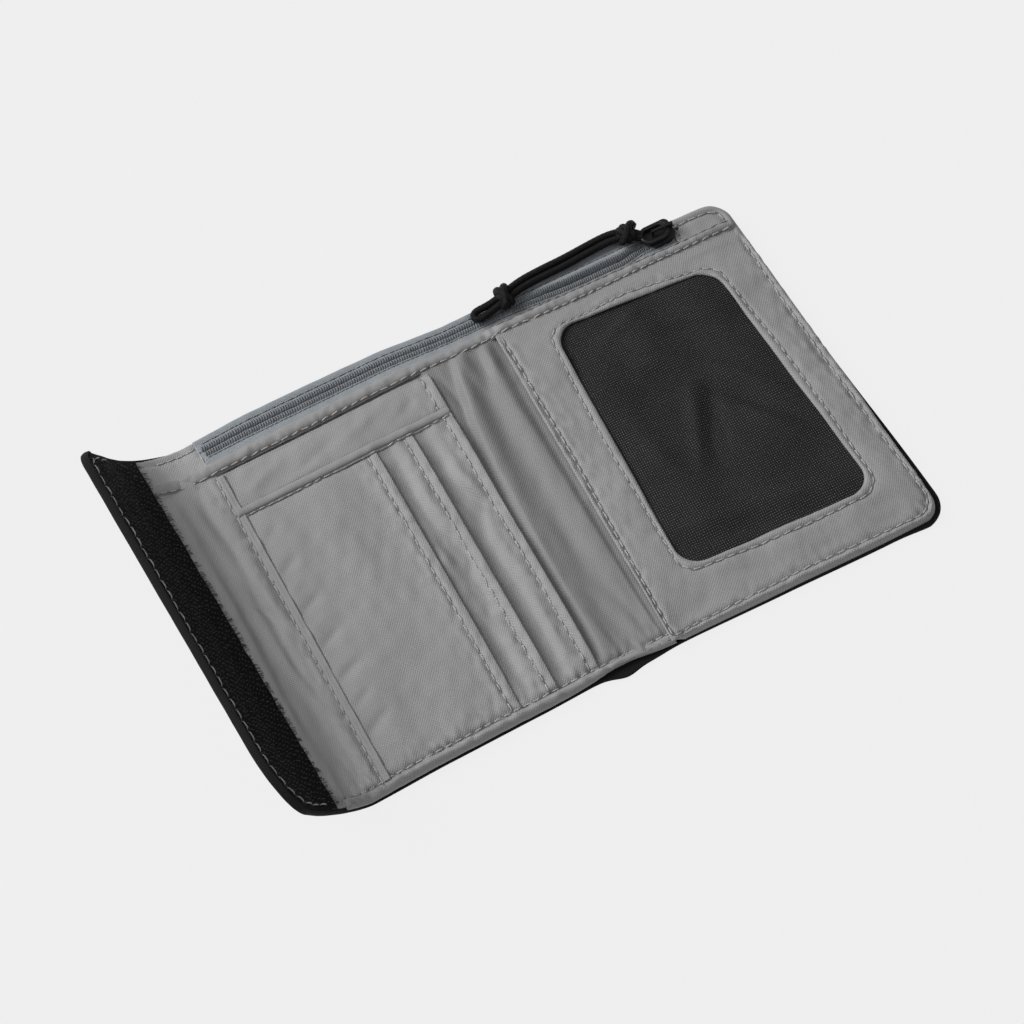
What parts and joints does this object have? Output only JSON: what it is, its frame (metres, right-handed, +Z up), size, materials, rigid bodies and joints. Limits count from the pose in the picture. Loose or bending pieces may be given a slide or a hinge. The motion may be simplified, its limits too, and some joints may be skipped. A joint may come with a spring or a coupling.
{
  "type": "bifold wallet",
  "caption": "Fabric bifold travel wallet, lying open: zipped note compartment, stepped card slots, mesh ID window, wrap-over closing flap with a hook strip, and a corded zip pull.",
  "frame": {"origin": "on the underside of the open wallet, at the middle of the spine and half way up its height", "axes": "+X across the open wallet towards the ID side's free edge, +Y towards the zip, +Z up from the surface it lies on"},
  "size_m": [0.2053, 0.1227, 0.03],
  "materials": {
    "shell_fabric": "black polyester plain weave",
    "lining_fabric": "mid-grey polyester plain weave, faint sheen",
    "foil": "metallised shielding film laminated on cloth",
    "loop_strip": "black loop pile",
    "hook_strip": "black woven tape with moulded hooks",
    "mesh": "fine black mesh",
    "zip_tape": "blue-grey woven tape",
    "zip_coil": "nylon coil",
    "slider_metal": "black enamel, semi-gloss",
    "cord": "black braided cord"
  },
  "bodies": {
    "card_side": {"card_outer_shell": "shell_fabric", "card_rfid_shield": "foil", "card_rear_lining": "lining_fabric", "card_compartment_front": "lining_fabric", "card_slot_rear": "lining_fabric", "card_slot_middle": "lining_fabric", "card_slot_front": "lining_fabric", "card_slot_binding": "lining_fabric", "card_side_seam_strip": "lining_fabric", "card_bottom_hem": "shell_fabric", "card_zip_facing": "lining_fabric", "zip_end_tab_left": "lining_fabric", "spine_outer_shell": "shell_fabric", "spine_rear_lining": "lining_fabric", "spine_front_panel": "lining_fabric", "spine_zip_facing": "lining_fabric", "spine_bottom_hem": "shell_fabric", "card_zip_tape_rear": "zip_tape", "card_zip_tape_front": "zip_tape", "card_zip_coils": "zip_coil", "spine_zip_tape_rear": "zip_tape", "spine_zip_tape_front": "zip_tape", "spine_zip_coils": "zip_coil", "riser_outer_shell": "shell_fabric", "riser_lining": "lining_fabric", "riser_hook_strip": "hook_strip"},
    "id_side": {"id_outer_shell": "shell_fabric", "id_loop_strip": "loop_strip", "id_rfid_shield": "foil", "id_rear_lining": "lining_fabric", "id_compartment_front": "lining_fabric", "id_mesh_window": "mesh", "id_window_frame": "lining_fabric", "id_zip_facing": "lining_fabric", "zip_end_tab_right": "lining_fabric", "id_right_hem": "shell_fabric", "id_bottom_hem": "shell_fabric", "id_zip_tape_rear": "zip_tape", "id_zip_tape_front": "zip_tape", "id_zip_coils": "zip_coil", "zip_top_stops": "zip_coil"},
    "flap": {"flap_outer_shell": "shell_fabric", "flap_lining": "lining_fabric", "flap_hook_strip": "hook_strip"},
    "slider": {"zip_slider": "slider_metal"},
    "pull": {"pull_ring": "slider_metal", "pull_cord": "cord", "pull_knot_upper": "cord", "pull_knot_lower": "cord"}
  },
  "joints": [
    {"name": "spine_fold", "type": "hinge", "parent": "card_side", "child": "id_side", "pos_m": [0, 0, 0.007], "axis": [0, -1, 0], "range_deg": [0, 179.5]},
    {"name": "flap_fold", "type": "hinge", "parent": "card_side", "child": "flap", "pos_m": [-0.09861, 0, 0.01472], "axis": [0, 1, 0], "range_deg": [-25, 119]},
    {"name": "zip_slide", "type": "slide", "parent": "id_side", "child": "slider", "axis": [1, 0, 0], "range_m": [-0.053, 0]},
    {"name": "pull_swing", "type": "hinge", "parent": "slider", "child": "pull", "pos_m": [0.071, 0.0552, 0.0058], "axis": [0, 0, 1], "range_deg": [-20, 0]}
  ]
}
